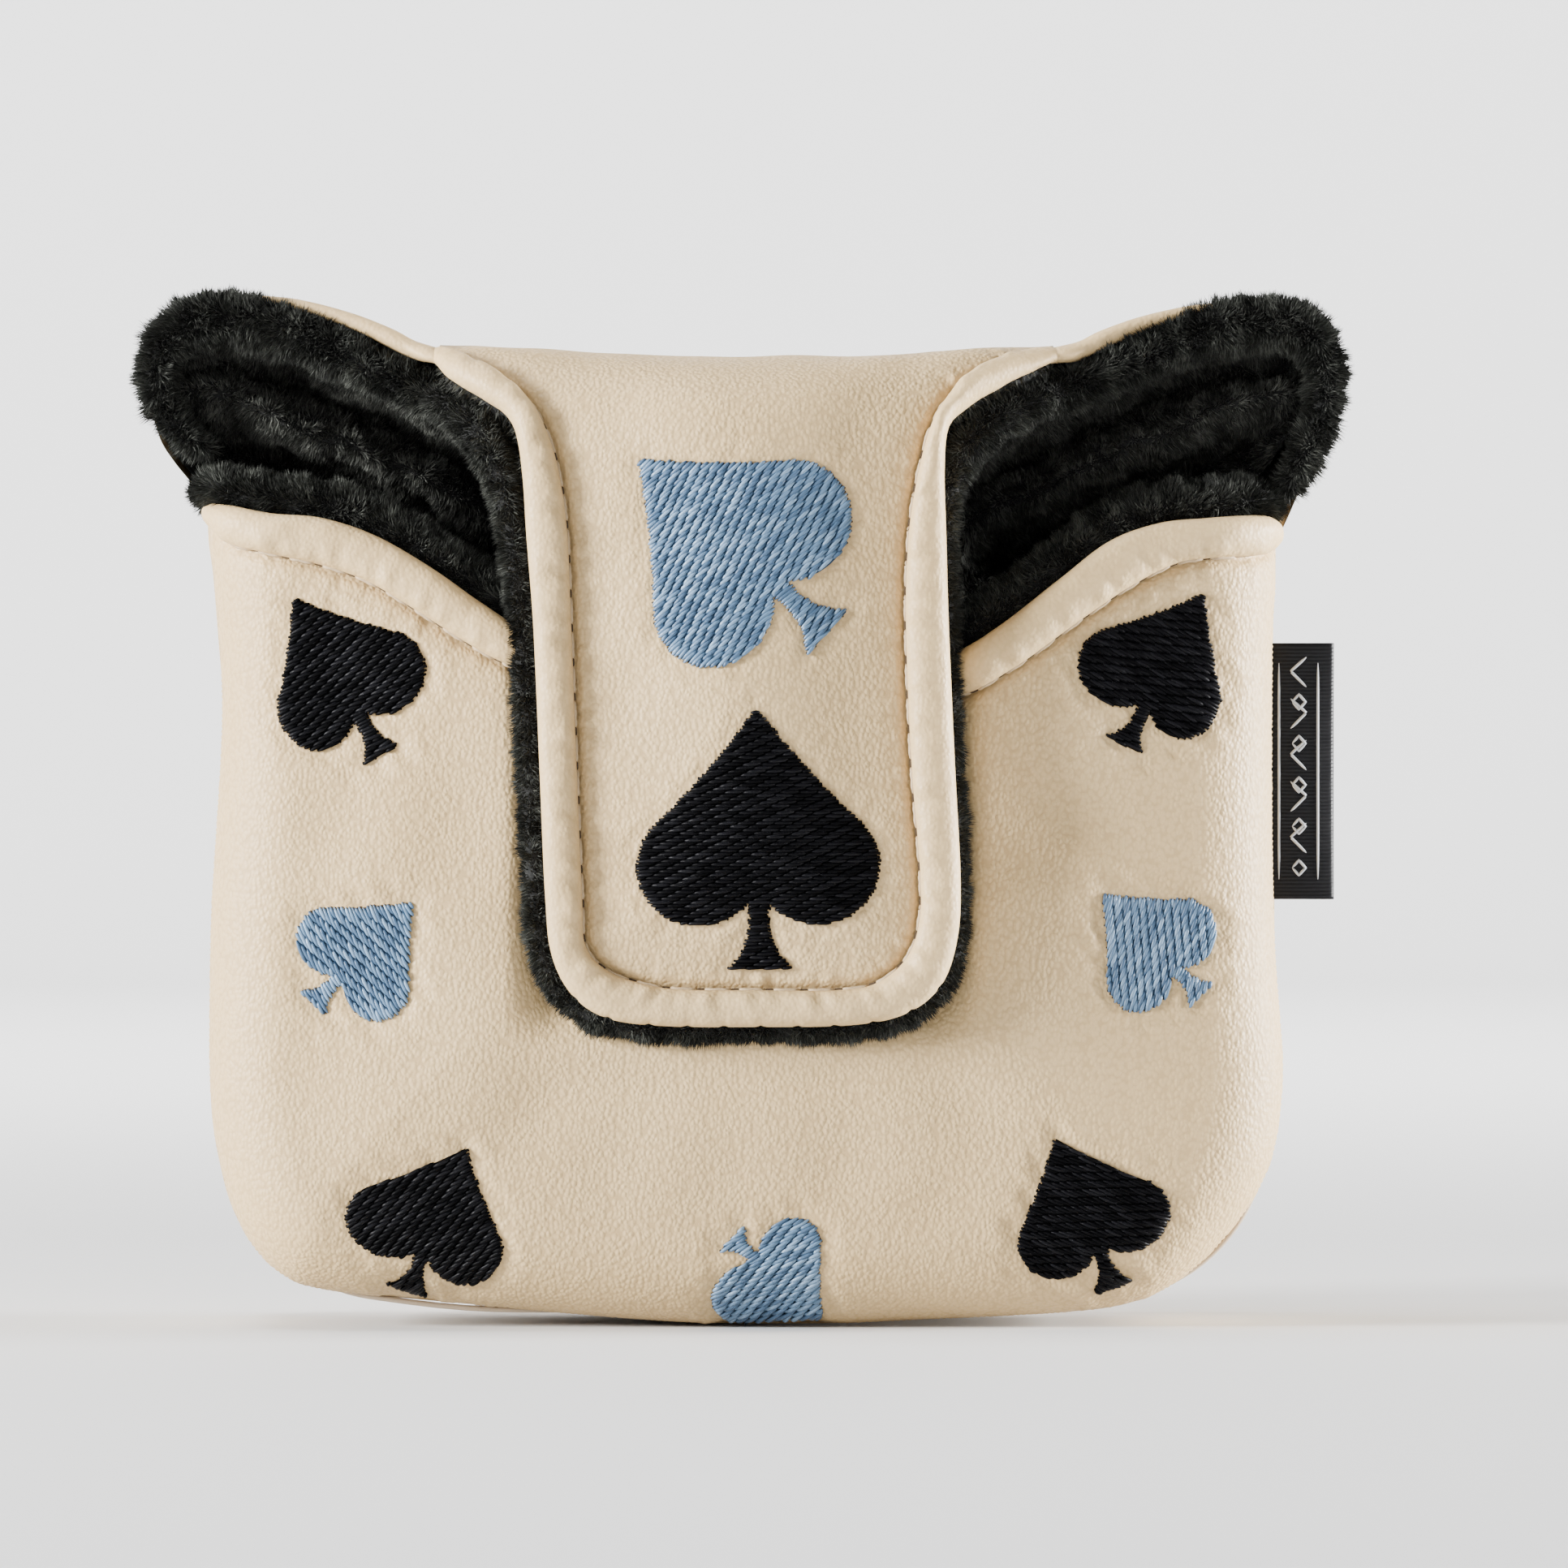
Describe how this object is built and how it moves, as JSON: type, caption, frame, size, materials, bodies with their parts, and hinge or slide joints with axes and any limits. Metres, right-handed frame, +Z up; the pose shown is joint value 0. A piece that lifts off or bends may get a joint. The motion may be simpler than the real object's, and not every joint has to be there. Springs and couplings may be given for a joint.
{
  "type": "putter head cover",
  "caption": "Padded leather pouch with a plush lining, flared corners and a magnetic flap folded over its mouth, for a mallet putter head.",
  "frame": {"origin": "under the middle of the cover, on the surface that it stands on", "axes": "+X across the cover to the right of its front, +Z up, front facing -Y"},
  "size_m": [0.146, 0.0502, 0.126],
  "materials": {
    "leather": "fine pebble grain, satin",
    "foam": "soft foam sheet",
    "plush": "deep soft pile",
    "cream_thread": "twisted thread",
    "black_thread": "embroidery thread, slight sheen",
    "blue_thread": "embroidery thread, slight sheen",
    "label_weave": "satin weave",
    "magnet": "nickel plated"
  },
  "bodies": {
    "pouch": {"front_panel": "leather", "front_binding": "leather", "gusset": "leather", "back_panel": "leather", "front_foam": "foam", "gusset_foam": "foam", "back_foam": "foam", "front_lining": "plush", "gusset_lining": "plush", "back_lining": "plush", "left_ear_lining": "plush", "right_ear_lining": "plush", "left_ear_rim": "plush", "right_ear_rim": "plush", "front_topstitch": "cream_thread", "front_seam_thread": "cream_thread", "back_seam_thread": "cream_thread", "spade_upper_left": "black_thread", "spade_upper_right": "black_thread", "spade_lower_left": "black_thread", "spade_lower_right": "black_thread", "spade_middle_left": "blue_thread", "spade_middle_right": "blue_thread", "spade_bottom": "blue_thread", "side_label": "label_weave", "body_magnets": "magnet"},
    "flap": {"flap_shell": "leather", "flap_foam": "foam", "flap_lining": "plush", "flap_binding": "leather", "flap_topstitch": "cream_thread", "flap_magnets": "magnet", "spade_flap_upper": "blue_thread", "spade_flap_lower": "black_thread"}
  },
  "joints": [
    {"name": "flap_fold", "type": "hinge", "parent": "pouch", "child": "flap", "pos_m": [0, 0.02116, 0.11266], "axis": [-1, 0, 0], "range_deg": [0, 110]}
  ]
}
